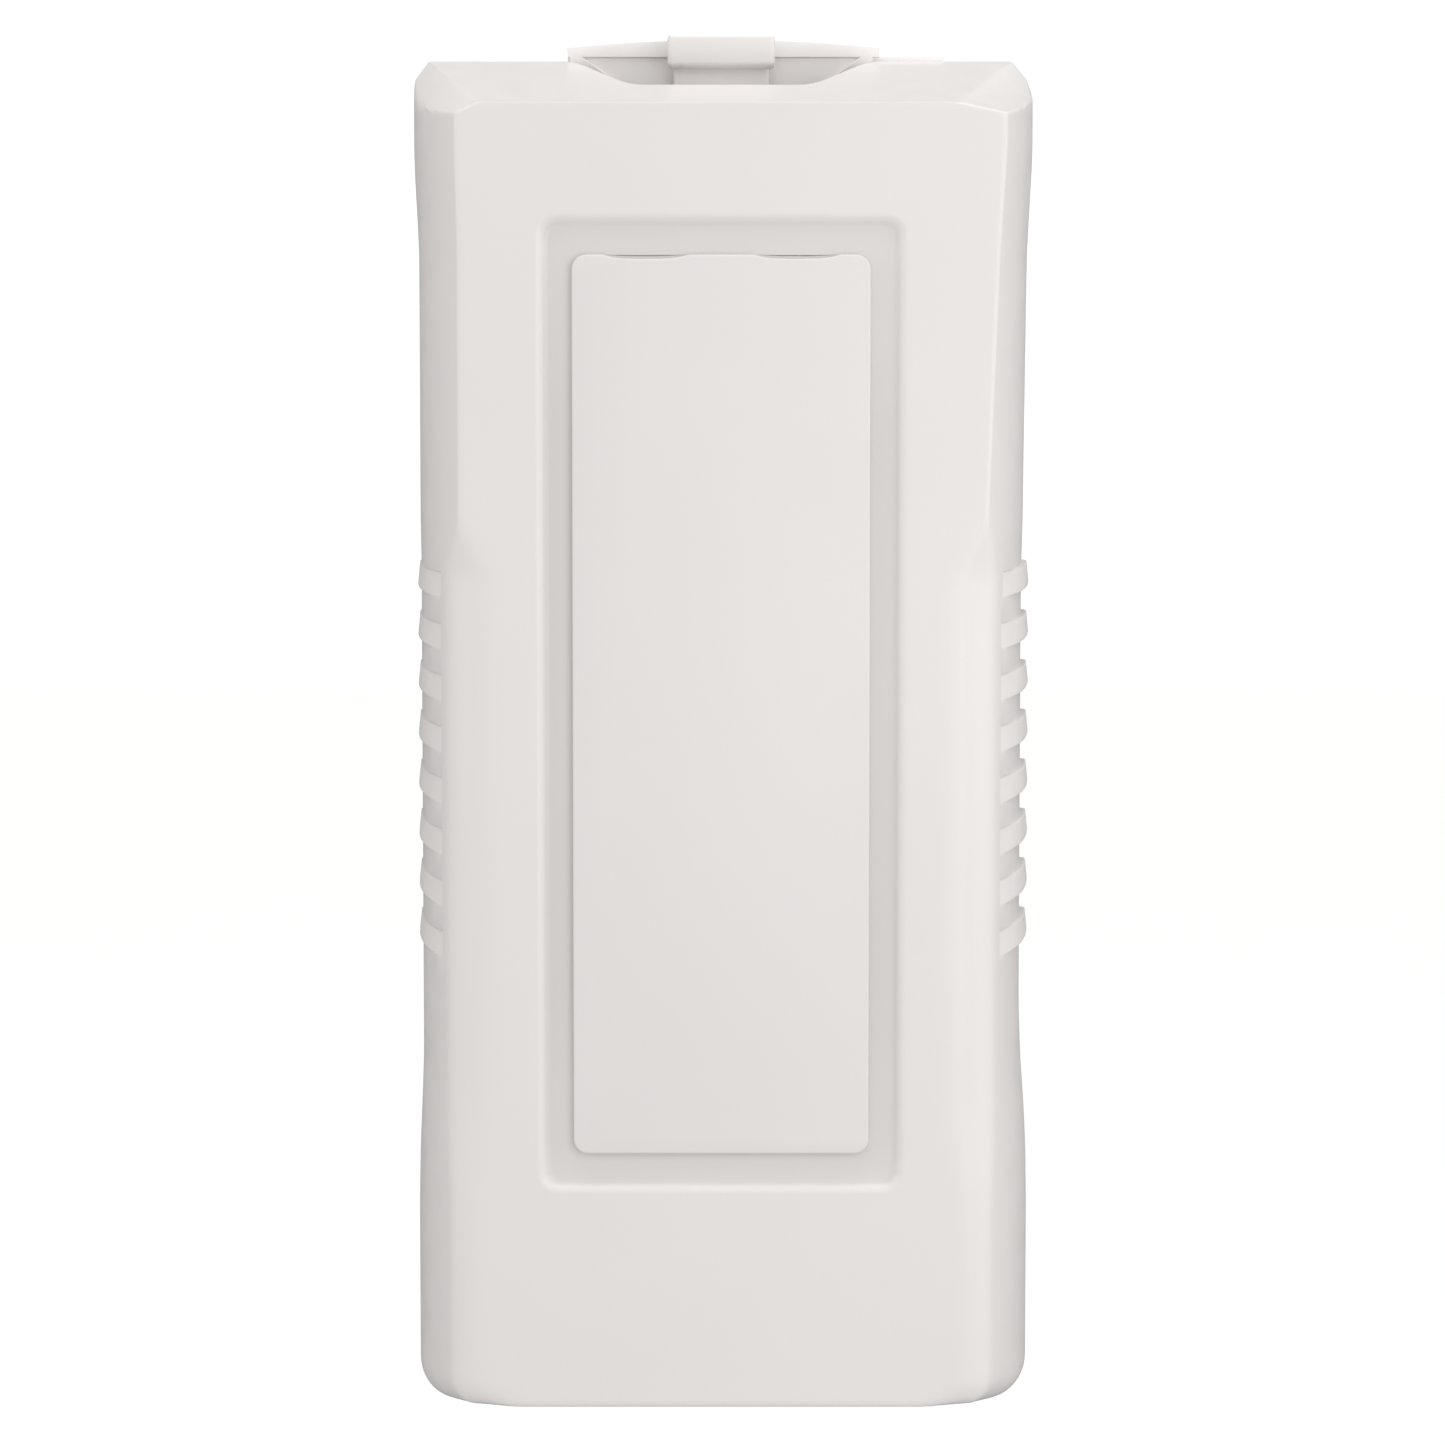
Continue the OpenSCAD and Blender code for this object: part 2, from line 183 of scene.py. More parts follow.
def turned(profile, centre, along, n=48):
    """A solid of revolution: profile is (radius, distance along the axis) from one end to the other."""
    axis = Vector(along).normalized()
    side = axis.orthogonal().normalized()
    other = axis.cross(side)
    bm = bmesh.new()
    rings = []
    for r, d in profile:
        if r < 1e-6:
            rings.append([bm.verts.new((Vector(centre) + axis * d) * MM)])
            continue
        rings.append([
            bm.verts.new((Vector(centre) + axis * d + (side * math.cos(a) + other * math.sin(a)) * r) * MM)
            for a in (2 * math.pi * i / n for i in range(n))
        ])
    for low, high in zip(rings, rings[1:]):
        for i in range(n):
            a, b = low[i % len(low)], low[(i + 1) % len(low)]
            c, d = high[(i + 1) % len(high)], high[i % len(high)]
            corners = list(dict.fromkeys((a, b, c, d)))
            if len(corners) > 2:
                bm.faces.new(corners)
    bmesh.ops.recalc_face_normals(bm, faces=bm.faces[:])
    return from_bmesh(bm)


def joined(name, solids, cuts=(), material=None, sharp=40.0):
    """One closed mesh: the solids united, with the cuts taken out."""
    first = solids[0]
    tools = [(s, "UNION") for s in solids[1:]] + [(c, "DIFFERENCE") for c in cuts]
    for tool, how in tools:
        step = first.modifiers.new(how, "BOOLEAN")
        step.operation, step.solver, step.object = how, "MANIFOLD", tool
    bpy.context.view_layer.update()
    result = bpy.data.meshes.new_from_object(first.evaluated_get(bpy.context.evaluated_depsgraph_get()))
    result.name = name
    shade(result, sharp)
    result.materials.clear()
    if material:
        result.materials.append(material)
    piece = bpy.data.objects.new(name, result)
    bpy.context.scene.collection.objects.link(piece)
    for s in [first] + [t for t, _ in tools]:
        bpy.data.objects.remove(s, do_unlink=True)
    return piece


# ---------------------------------------------------------------- materials


class Nodes:
    """Builds one procedural material."""

    def __init__(self, name):
        self.material = bpy.data.materials.new(name)
        self.material.use_nodes = True
        self.tree = self.material.node_tree
        self.shader = self.tree.nodes["Principled BSDF"]

    def add(self, kind, inputs=None, **settings):
        node = self.tree.nodes.new(kind)
        for k, v in settings.items():
            setattr(node, k, v)
        for k, v in (inputs or {}).items():
            self.feed(v, node.inputs[k])
        return node

    def feed(self, value, socket):
        if isinstance(value, bpy.types.NodeSocket):
            self.tree.links.new(value, socket)
        else:
            socket.default_value = value

    def math(self, operation, a, b=0.5, clamp=False):
        return self.add("ShaderNodeMath", {0: a, 1: b}, operation=operation, use_clamp=clamp).outputs[0]

    def noise(self, place, scale, detail=3.0, roughness=0.5):
        return self.add(
            "ShaderNodeTexNoise", {"Vector": place, "Scale": scale, "Detail": detail, "Roughness": roughness}
        ).outputs["Fac"]

    def ramp(self, value, low, high, to_low, to_high):
        return self.add(
            "ShaderNodeMapRange",
            {"Value": value, "From Min": low, "From Max": high, "To Min": to_low, "To Max": to_high},
            clamp=True,
        ).outputs["Result"]

    def mix(self, factor, a, b):
        node = self.add("ShaderNodeMix", data_type="RGBA")
        self.feed(factor, node.inputs["Factor"])
        self.feed(a, node.inputs["A"])
        self.feed(b, node.inputs["B"])
        return node.outputs["Result"]

    def set(self, **inputs):
        for k, v in inputs.items():
            self.feed(v, self.shader.inputs[k.replace("_", " ")])

    def bump(self, height, strength, distance):
        return self.add(
            "ShaderNodeBump", {"Height": height, "Strength": strength, "Distance": distance}
        ).outputs["Normal"]


def grey(v, warm=1.0):
    return (v, v * (1 - 0.032 * warm), v * (1 - 0.046 * warm), 1)


def recess_shade(m, place):
    """Painted shade on the recess floor, darkest over the middle of its height and less towards its top and bottom
    ends.
    """
    part = m.add("ShaderNodeSeparateXYZ", {"Vector": place})
    up = m.math("ABSOLUTE", m.math("SUBTRACT", part.outputs["Z"], RECESS_Z * MM))
    across = m.math("ABSOLUTE", part.outputs["X"])
    inside = m.math("MULTIPLY", m.ramp(across, 0.0392, 0.0396, 1.0, 0.0), m.ramp(up, 0.1057, 0.1061, 1.0, 0.0))
    floor = m.math("MULTIPLY", m.ramp(part.outputs["Y"], -0.0452, -0.0444, 0.0, 1.0),
                   m.ramp(part.outputs["Y"], -0.0440, -0.0439, 1.0, 0.0))
    return m.math("MULTIPLY", m.math("MULTIPLY", inside, floor), m.ramp(up, 0.06, 0.105, 0.15, 0.09))


def painted_rib_light_gap_shade(m, place):
    """Painted light on the ribs' faces and painted shade in the gaps between them, the shade deepest at the wall end.
    """
    part = m.add("ShaderNodeSeparateXYZ", {"Vector": place})
    front = m.ramp(part.outputs["Y"], RIB_FRONT * MM, RIB_BACK * MM, 1.0, 0.0)
    rise = m.math("SUBTRACT", 1.0, m.math("POWER", m.math("SUBTRACT", 1.0, front), 1.4))
    pitch = (RIB_TOPS[0] - RIB_TOPS[1]) * MM
    below = m.math("SUBTRACT", RIB_TOPS[0] * MM, m.math("MULTIPLY", rise, RIB_RISE * MM))
    below = m.math("SUBTRACT", below, part.outputs["Z"])
    part_way = m.math("FRACT", m.math("DIVIDE", below, pitch))
    rib = m.ramp(part_way, 0.46, 0.48, 1.0, 0.0)
    zone = m.math("MULTIPLY", m.ramp(part.outputs["Y"], (RIB_FRONT - 0.1) * MM, (RIB_FRONT + 0.1) * MM, 0.0, 1.0),
                  m.ramp(m.math("ABSOLUTE", part.outputs["X"]), 0.056, 0.057, 0.0, 1.0))
    zone = m.math("MULTIPLY", zone, m.ramp(below, 0.0, 0.0002, 0.0, 1.0))
    zone = m.math("MULTIPLY", zone, m.ramp(below, 7.46 * pitch, 7.5 * pitch, 1.0, 0.0))
    # painted shade in the gaps, deepest at the wall end; the ribs' faces get a fixed painted light
    wall_end_shade = m.ramp(front, 0.0, 0.8, 0.09, 0.0)
    return m.math("MULTIPLY", zone, m.math("SUBTRACT", m.math("MULTIPLY", rib, m.math("ADD", wall_end_shade, 0.09)), wall_end_shade))


def moulded(name, base, rough, warm=1.0, painted_shading=False):
    """Injection-moulded white plastic: faint flow variation, fine grain and soft handling marks; with the last
    argument set, also painted shade in the recess and painted light and shade on the side ribs.
    """
    m = Nodes(name)
    place = m.add("ShaderNodeTexCoord").outputs["Object"]
    flow = m.noise(place, 14.0, 2.0)
    blotch = m.ramp(flow, 0.3, 0.7, 0.0, 1.0)
    grain = m.noise(place, 1600.0, 2.0)
    peel = m.noise(place, 190.0, 3.0)
    scuff = m.ramp(m.noise(place, 60.0, 6.0, 0.7), 0.6, 0.78, 0.0, 0.07)
    colour = m.mix(blotch, grey(base * 0.985, warm), grey(base * 1.008, warm))
    if painted_shading:
        # painted shade: the recess floor is mixed a little towards black
        colour = m.mix(recess_shade(m, place), colour, (0, 0, 0, 1))
        # painted light on the ribs' faces (mixed towards a light grey) and painted shade in the gaps (mixed towards
        # black)
        grip = painted_rib_light_gap_shade(m, place)
        colour = m.mix(m.math("MAXIMUM", grip, 0.0), colour, grey(1.5, warm))
        colour = m.mix(m.math("MAXIMUM", m.math("MULTIPLY", grip, -1.0), 0.0), colour, (0, 0, 0, 1))
    m.set(
        Base_Color=colour,
        Roughness=m.math("ADD", m.ramp(peel, 0.3, 0.7, rough - 0.03, rough + 0.04), scuff),
        IOR=1.5,
        Normal=m.bump(m.math("ADD", m.math("MULTIPLY", grain, 0.25), peel), 0.25, 0.00012),
    )
    return m.material


def steel():
    m = Nodes("pin_steel")
    place = m.add("ShaderNodeTexCoord").outputs["Object"]
    stretched = m.add("ShaderNodeMapping", {"Vector": place, "Scale": (60.0, 1400.0, 1400.0)}).outputs[0]
    lines = m.noise(stretched, 1.0, 4.0, 0.6)
    m.set(
        Base_Color=m.mix(lines, (0.50, 0.51, 0.53, 1), (0.66, 0.67, 0.69, 1)),
        Metallic=1.0,
        Roughness=m.ramp(lines, 0.2, 0.8, 0.24, 0.42),
        Normal=m.bump(lines, 0.2, 0.00003),
    )
    return m.material


def glass_cloth():
    """Plain-woven glass fibre: flat bright yarns over and under each other, with a sewn hem."""
    m = Nodes("glass_cloth")
    uv = m.add("ShaderNodeUVMap").outputs["UV"]
    part = m.add("ShaderNodeSeparateXYZ", {"Vector": uv})
    pitch = 0.0011
    u, v = part.outputs["X"], part.outputs["Y"]
    wave_u = m.math("SINE", m.math("MULTIPLY", u, 2 * math.pi / pitch))
    wave_v = m.math("SINE", m.math("MULTIPLY", v, 2 * math.pi / pitch))
    over = m.math("MULTIPLY", m.math("SINE", m.math("MULTIPLY", u, math.pi / pitch)),
                  m.math("SINE", m.math("MULTIPLY", v, math.pi / pitch)))
    yarn = m.math("MAXIMUM", m.math("MULTIPLY", wave_u, over),
                  m.math("MULTIPLY", wave_v, m.math("MULTIPLY", over, -1.0)))
    height = m.math("ADD", m.math("MULTIPLY", yarn, 0.5), m.math("MULTIPLY", m.noise(uv, 900.0, 3.0), 0.5))
    slub = m.noise(m.add("ShaderNodeMapping", {"Vector": uv, "Scale": (2.0, 260.0, 1.0)}).outputs[0], 1.0, 2.0)
    edge = m.math("MINIMUM", m.math("MINIMUM", u, m.math("SUBTRACT", CLOTH_SIDE, u)),
                  m.math("MINIMUM", v, m.math("SUBTRACT", CLOTH_SIDE, v)))
    hem = m.ramp(edge, 0.0118, 0.0122, 1.0, 0.0)
    near_seam = m.ramp(m.math("ABSOLUTE", m.math("SUBTRACT", edge, 0.0095)), 0.0004, 0.0007, 1.0, 0.0)
    dash = m.ramp(m.math("SINE", m.math("MULTIPLY", m.math("ADD", u, v), 2 * math.pi / 0.0044)), -0.3, 0.0, 0.0, 1.0)
    stitch = m.math("MULTIPLY", near_seam, dash)
    cloth = m.mix(m.ramp(yarn, -0.3, 0.8, 0.0, 1.0), (0.60, 0.59, 0.54, 1), (0.76, 0.75, 0.70, 1))
    cloth = m.mix(m.ramp(slub, 0.35, 0.7, 0.0, 0.35), cloth, (0.66, 0.64, 0.57, 1))
    cloth = m.mix(m.math("MULTIPLY", hem, 0.25), cloth, (0.56, 0.55, 0.50, 1))
    cloth = m.mix(stitch, cloth, (0.83, 0.83, 0.80, 1))
    m.set(
        Base_Color=cloth,
        Roughness=m.ramp(yarn, -0.5, 1.0, 0.72, 0.5),
        Sheen_Weight=0.25,
        Normal=m.bump(m.math("ADD", height, m.math("MULTIPLY", stitch, 1.5)), 0.8, 0.00018),
    )
    return m.material


def webbing():
    """Black woven tape: cords running along it, crossed by fine picks."""
    m = Nodes("webbing")
    uv = m.add("ShaderNodeUVMap").outputs["UV"]
    part = m.add("ShaderNodeSeparateXYZ", {"Vector": uv})
    across, along = part.outputs["X"], part.outputs["Y"]
    cords = m.math("ABSOLUTE", m.math("SINE", m.math("MULTIPLY", across, math.pi / 0.0013)))
    lean = m.math("ADD", m.math("MULTIPLY", along, 2 * math.pi / 0.0016),
                  m.math("MULTIPLY", m.math("PINGPONG", across, 0.0013), 2400.0))
    picks = m.math("SINE", lean)
    height = m.math("ADD", cords, m.math("MULTIPLY", picks, 0.4))
    fuzz = m.noise(uv, 700.0, 4.0)
    tint = m.ramp(m.math("ADD", height, m.math("MULTIPLY", fuzz, 0.5)), 0.2, 1.5, 0.0, 1.0)
    m.set(
        Base_Color=m.mix(tint, (0.008, 0.008, 0.010, 1), (0.035, 0.035, 0.040, 1)),
        Roughness=m.ramp(cords, 0.0, 1.0, 0.85, 0.6),
        Sheen_Weight=0.3,
        Normal=m.bump(height, 0.7, 0.0002),
    )
    return m.material


def thread():
    m = Nodes("sewing_thread")
    place = m.add("ShaderNodeTexCoord").outputs["Object"]
    twist = m.add(
        "ShaderNodeTexWave", {"Vector": place, "Scale": 900.0, "Distortion": 1.0}, bands_direction="DIAGONAL"
    ).outputs["Fac"]
    m.set(
        Base_Color=m.mix(twist, (0.42, 0.41, 0.38, 1), (0.62, 0.61, 0.58, 1)),
        Roughness=0.7,
        Normal=m.bump(twist, 0.5, 0.0001),
    )
    return m.material


SHELL = moulded("shell_plastic", 0.80, 0.36, 1.0, True)
# The back plate and the latch are the same white plastic as the shell, given a lighter base colour to stand in for
# light in the shaded inside of the scoop: painted light.
PLATE = moulded("plate_plastic", 0.92, 0.40)
PANEL = moulded("panel_plastic", 0.775, 0.46, 0.9)
LATCH = moulded("latch_plastic", 0.89, 0.30)
STEEL = steel()
CLOTH = glass_cloth()
WEB = webbing()
THREAD = thread()


# ---------------------------------------------------------------- front cover


def half_w(y):
    return CASE_W / 2 + SIDE_SLOPE * y


def side_w(x, y, z):
    """Half the width on either side: the right side is fuller at the front above and at the wall below."""
    ahead = np.clip((RIM_Y - y) / (CASE_D + RIM_Y), 0, 1)
    above, below = RIGHT_FULLER
    fuller = above * np.clip((z - 22) / 105, 0, 1) * ahead + below * ease((-60 - z) / 30) * (1 - ahead)
    return half_w(y) + np.where(x > 0, fuller, 0)


def top_face(y):
    return TOP - TOP_SLOPE * (RIM_Y - y)


def climb(y):
    """How far a rib has climbed at depth y: 0 at its wall end and 1 at its front end."""
    return 1 - (1 - np.clip((RIB_BACK - y) / (RIB_BACK - RIB_FRONT), 0, 1)) ** 1.4


def rib_stand(x, y, z):
    """How far a rib stands off the side: its front end is sunk a little, its wall end stands proud.

    Each rib also leans out towards its lower edge."""
    best, share = np.full(np.shape(y), -9.0), np.zeros(np.shape(y))
    g = climb(y)
    for top in RIB_TOPS:
        upper = top - RIB_RISE * g
        lower = top - RIB_TIP_H - (RIB_RISE + RIB_H - RIB_TIP_H) * g
        within = np.minimum(upper - z, z - lower)
        share = np.where(within > best, np.clip((upper - z) / (upper - lower), 0, 1), share)
        best = np.maximum(best, within)
    best = np.minimum(best, np.minimum(y - RIB_FRONT, RIB_BACK - y))
    t = np.clip((best + 0.25) / 0.4, 0, 1)
    out = np.clip((y - RIB_FRONT) / (RIB_BACK - RIB_FRONT), 0, 1)
    stand = -RIB_SUNK + np.where(x < 0, *RIB_OUT) * out + 0.5 * share * (0.4 + 0.6 * out)
    return np.sqrt(np.clip(1 - (1 - t) ** 2, 0, 1)) * stand


def recess_dent(x, z, grow):
    """Depth of the recess in the front face."""
    qx = np.abs(x) - RECESS_HALF[0] + 4
    qz = np.abs(z - RECESS_Z) - RECESS_HALF[1] + 4
    outside = np.hypot(np.maximum(qx, 0), np.maximum(qz, 0)) + np.minimum(np.maximum(qx, qz), 0) - 4
    return RECESS_DEPTH * ease((0.4 - (outside - grow)) / 2.3)


def slot_depth(off):
    """How far a slot reaches below its straight upper edge, at a distance off its middle."""
    return 0.9 * np.maximum(1 - np.abs(2 * off / SLOT_LEN) ** 4, 0)


def hollow(y, z):
    """The sides draw in a little round the middle and have a shallow grip hollow."""
    deep = (y + CASE_D) / (CASE_D + RIM_Y)
    waist = (0.5 + 0.7 * deep**2) * ease((130 - z) / 28) * ease((z + 104) / 32)
    grip = ease((46 - z) / 10) * ease((z + 112) / 12) * ease((y + 42) / 16) * ease((RIM_Y - y) / 3)
    return waist + 0.15 * grip


def edge_radius(z):
    """The upright front edges are crisp above the grip hollow and soft beside and below it."""
    return 0.6 + 6.4 * ease((47 - z) / 15) - 2.4 * ease((-80 - z) / 25)


def bevel_size(x, deep):
    """Height and width of the bevel between the top and a side; the right one is wide at the front."""
    return 2.2 + 2.0 * deep, np.where(x < 0, 4.9 - 1.8 * deep, 10.4 - 7.0 * deep)


def meet(a, b, r):
    """The rounded corner between two faces, each given as a distance outside it."""
    return np.minimum(np.maximum(a, b), -r) + np.hypot(np.maximum(a + r, 0), np.maximum(b + r, 0))


def outside(x, y, z, inset):
    """Distance outside the cover's outer skin, or its inner skin when inset is the wall."""
    ax = np.abs(x)
    deep = (y + CASE_D) / (CASE_D + RIM_Y)
    plane = side_w(x, y, z)
    w = plane - hollow(y, z) + 4 * BELLY * deep * (1 - deep)
    if inset == 0:
        w = w + rib_stand(x, y, z)
    else:
        w = w + 0.6 * ease((y + 12) / 5)
    side = (ax - w) * 0.97 + inset
    front = -CASE_D - y + recess_dent(x, z, inset) + inset
    under = BOTTOM - FOOT_DROP * ease(1.6 * deep) - z + inset
    roof = (z - top_face(y)) * 0.957 + inset
    bevel_h, bevel_w = bevel_size(x, deep)
    bevel = ((ax - plane) * bevel_h + (z - top_face(y) + bevel_h) * bevel_w) / np.hypot(bevel_h, bevel_w) + inset
    body = meet(side, front, np.maximum(edge_radius(z) - inset, 0.4))
    body = meet(body, under, np.maximum(1.2 + (CORNER_R - 1.2) * ease((ax - 44) / 12) - inset, 0.4))
    body = meet(body, bevel, 0.4)
    return meet(body, roof, 0.1)


def lattice_sides(nx, ny, nz):
    """The lattice's front, right, left, top and foot: i, j, k and whether its faces turn over."""
    sides = []
    for axis, at in (("j", 0), ("i", nx - 1), ("i", 0), ("k", nz - 1), ("k", 0)):
        if axis == "j":
            i, k = np.meshgrid(np.arange(nx), np.arange(nz), indexing="ij")
            sides.append((i, np.zeros_like(i), k, False))
        elif axis == "i":
            j, k = np.meshgrid(np.arange(ny), np.arange(nz), indexing="ij")
            sides.append((np.full_like(j, at), j, k, at == 0))
        else:
            i, j = np.meshgrid(np.arange(nx), np.arange(ny), indexing="ij")
            sides.append((i, j, np.full_like(i, at), at == 0))
    return sides


def skin_points(x, y, z):
    """Points of the outer and the inner skin, on rays from a core well inside through each place."""
    deep = 13.0
    core = np.stack([
        np.sign(x) * np.minimum(np.abs(x), half_w(y) - deep),
        np.maximum(y, -CASE_D + deep),
        np.clip(z, BOTTOM + deep, top_face(y) - deep),
    ], 1)
    ray = np.stack([x, y, z], 1) - core
    skins = []
    for inset in (0.0, WALL):
        low, high = np.full(len(x), 0.35), np.full(len(x), 1.35)
        for _ in range(34):
            middle = (low + high) / 2
            p = core + ray * middle[:, None]
            out = outside(p[:, 0], p[:, 1], p[:, 2], inset) > 0
            high, low = np.where(out, middle, high), np.where(out, low, middle)
        skins.append(core + ray * high[:, None])
    return skins


def with_rims(quads, skins):
    """Both skins, joined by a rounded edge wherever the outer skin stops."""
    directed = {}
    for a, b, c, d in quads.tolist():
        for e in ((a, b), (b, c), (c, d), (d, a)):
            directed[e] = (a, b, c, d)
    rim_edges = [e for e in directed if (e[1], e[0]) not in directed]
    count = len(skins[0])
    push = {}
    for a, b in rim_edges:
        face = directed[(a, b)]
        p = skins[0][list(face)]
        normal = np.cross(p[2] - p[0], p[3] - p[1])
        away = np.cross(skins[0][b] - skins[0][a], normal)
        length = np.linalg.norm(away)
        if length > 1e-9:
            for v in (a, b):
                push[v] = push.get(v, 0) + away / length * np.linalg.norm(skins[0][b] - skins[0][a])
    extra, index = [], {}
    for v, away in push.items():
        away = away / max(np.linalg.norm(away), 1e-9)
        out, inn = skins[0][v], skins[1][v]
        for share_in, bulge in RIM_STEPS:
            index[(v, share_in)] = 2 * count + len(extra)
            extra.append(out + (inn - out) * share_in + away * bulge)
    faces = [tuple(q) for q in quads.tolist()]
    faces += [tuple(count + v for v in reversed(q)) for q in quads.tolist()]
    for a, b in rim_edges:
        chain_a = [a] + [index[(a, s)] for s, _ in RIM_STEPS] + [count + a]
        chain_b = [b] + [index[(b, s)] for s, _ in RIM_STEPS] + [count + b]
        for n in range(len(RIM_STEPS) + 1):
            faces.append((chain_b[n], chain_a[n], chain_a[n + 1], chain_b[n + 1]))
    used = np.zeros(2 * count + len(extra), bool)
    for f in faces:
        used[list(f)] = True
    all_points = np.concatenate([*skins, np.array(extra)])
    remap = np.cumsum(used) - 1
    faces = [tuple(remap[list(f)]) for f in faces]
    return all_points[used], faces


def cover_shell():
    """The moulded shell on a lattice that follows its edges, ribs, scoop, slots and mouth."""
    inner = [0, 1.5, 3, 4.5, 6, 7.15, 7.6, 8.3, 9.5, 11, 12.5, 14.3, 16.4, 18.5, 20.3, 21.8, 23.3, 24.5, 25.2, 25.65,
             26.8, 28.2, 29.6, 31, 32.2, 33.2, 34, 34.55, 34.88, 35, 35.6, 36.4, 37.1, 37.7, 38.3, 38.9, 39.5, 40.1,
             40.8, 42, 44, 46.5, 49, 51.2, 53, 54.5, 55.6, MOUTH_X]
    outer = [0.13, 0.27, 0.41, 0.55, 0.69, 0.81, 0.91, 1.0]
    cols = [(x, 0.0) for x in inner] + [(MOUTH_X, q) for q in outer]
    cols = [(-x, -q) for x, q in reversed(cols[1:])] + cols
    base = np.array([c[0] for c in cols], float)
    share = np.array([c[1] for c in cols], float)
    depths = np.array([-46, -45.8, -45.5, -45.1, -44.5, -43.7, -42.8, -41.9, MOUTH_Y, -40, -38.8, -37.3, -36.5,
                       -36.25, -36.1, -35.95, -35.8, -35, -33.5, -32, -30, -28, -26, -24, -22, -20, -17.5, -15,
                       -12.5, -10, -8, -6, -4.8, -4.15, -4, -3.85, -3.72, -3.1])
    rows = [-149, -148.6, -148, -147.2, -146.2, -145, -143.6, -142, -140.2, -138.4, -136, -132, -127, -122, -118,
            -114, -112, -111, -110, -109, -108, -107, -106, -104, -102.4, -101.6, -101, -100.4, -99.8, -99.2, -98.5,
            -97, -93, -88, -82, -76, -70, -64, -60]
    for top in reversed(RIB_TOPS):
        low = top - RIB_TIP_H
        rows += [low - 2.2, low - 0.8, low - 0.25, low - 0.1, low, low + 0.15, low + 0.8,
                 top - RIB_TIP_H / 2, top - 0.8, top - 0.15, top, top + 0.1, top + 0.25, top + 0.8]
    rows += [39, 41, 43, 46, 49, 52, 56, 60, 65, 70, 76, 82, 88, 93, 97, 100, 101.4, SLOT_TOP - 0.1, SLOT_TOP,
             105, 107, 108.6, 109.4, 110, 110.6, 111.2, 111.8, 112.4, 113.5, 116, 120, 124, 128, 132, 136, 140, 142.5,
             144.4, 145.7, 146.6, 147.2, 147.7, 148.15, 148.5, 148.8, 149]
    rows = np.array(rows, float)
    slot_row = int(np.searchsorted(rows, SLOT_TOP))
    known_back, known_front = [-150, -85], [-150, -85]
    for top in reversed(RIB_TOPS):
        known_back += [top - RIB_TIP_H, top]
        known_front += [top - RIB_RISE - RIB_H, top - RIB_RISE]
    known_back += [58, 150]
    known_front += [58, 150]
    rows_front = np.interp(rows, known_back, known_front)
    nx, ny, nz = len(cols), len(depths), len(rows)

    sides = lattice_sides(nx, ny, nz)
    ids = np.concatenate([((i * ny + j) * nz + k).ravel() for i, j, k, _ in sides])
    unique, back_to = np.unique(ids, return_inverse=True)
    i, j, k = unique // (ny * nz), unique // nz % ny, unique % nz

    # where each lattice node is on the sharp-edged case
    zb = rows[k]
    below = np.maximum(PIVOT_Z - zb, 0) * (1 + FOOT_DROP / (PIVOT_Z - BOTTOM))
    tilt = math.radians(TILT)
    rim = np.minimum(RIM_Y, PIVOT_Y + (4.8 - below * math.sin(tilt)) / math.cos(tilt))
    y = -CASE_D + (depths[j] + CASE_D) * (rim + CASE_D) / (RIM_Y + CASE_D)
    on_top = k == nz - 1
    inside_scoop = on_top & (np.abs(base[i]) < SCOOP_HALF_W)
    scoop_y = depths[-1] - SCOOP_DEPTH * ease((SCOOP_HALF_W + 1 - np.abs(base[i])) / SCOOP_FLARE)
    y = np.where(inside_scoop, -CASE_D + (y + CASE_D) * (scoop_y + CASE_D) / (depths[-1] + CASE_D), y)
    w = side_w(base[i], y, zb)
    x = base[i] + share[i] * (w - MOUTH_X)
    bevel_h, bevel_w = bevel_size(base[i], (y + CASE_D) / (CASE_D + RIM_Y))
    flat_x = np.abs(base[i])
    flat_x = np.where(flat_x > 46, 46 + (flat_x - 46) * (w - bevel_w - 46) / (MOUTH_X - 46), flat_x)
    x = x + (np.sign(base[i]) * (flat_x + np.abs(share[i]) * bevel_w) - x) * ease((zb - 128) / 18)
    z = zb + (rows_front[k] - zb) * climb(y)
    z = z - (TOP - top_face(y) + bevel_h * np.abs(share[i])) * ease((zb - 113.5) / 27)
    z = np.where((k == slot_row - 1) & (j == 0), SLOT_TOP - np.maximum(0.5 * slot_depth(np.abs(x) - SLOT_X), 0.08), z)

    skins = skin_points(x, y, z)

    # faces of the outer skin, without the slots and the mouth
    quads, start = [], 0
    for n, (gi, gj, gk, flip) in enumerate(sides):
        grid = back_to[start:start + gi.size].reshape(gi.shape)
        start += gi.size
        q = np.stack([grid[:-1, :-1], grid[1:, :-1], grid[1:, 1:], grid[:-1, 1:]], -1)
        mid_i = (base[gi[:-1, :-1]] + base[gi[1:, :-1]]) / 2
        if n == 0:
            in_slot = (np.abs(np.abs(mid_i) - SLOT_X) < SLOT_LEN / 2) & (gk[:-1, :-1] == slot_row - 1)
            q = q[~in_slot]
        elif n == 4:
            in_mouth = (share[gi[:-1, :-1]] == 0) & (share[gi[1:, :-1]] == 0)
            in_mouth &= depths[gj[:-1, :-1]] >= MOUTH_Y - 1e-6
            q = q[~in_mouth]
        q = q.reshape(-1, 4)
        quads.append(q[:, ::-1] if flip else q)
    quads = np.concatenate(quads)

    points, faces = with_rims(quads, skins)
    return make_mesh("shell_raw", points, faces)


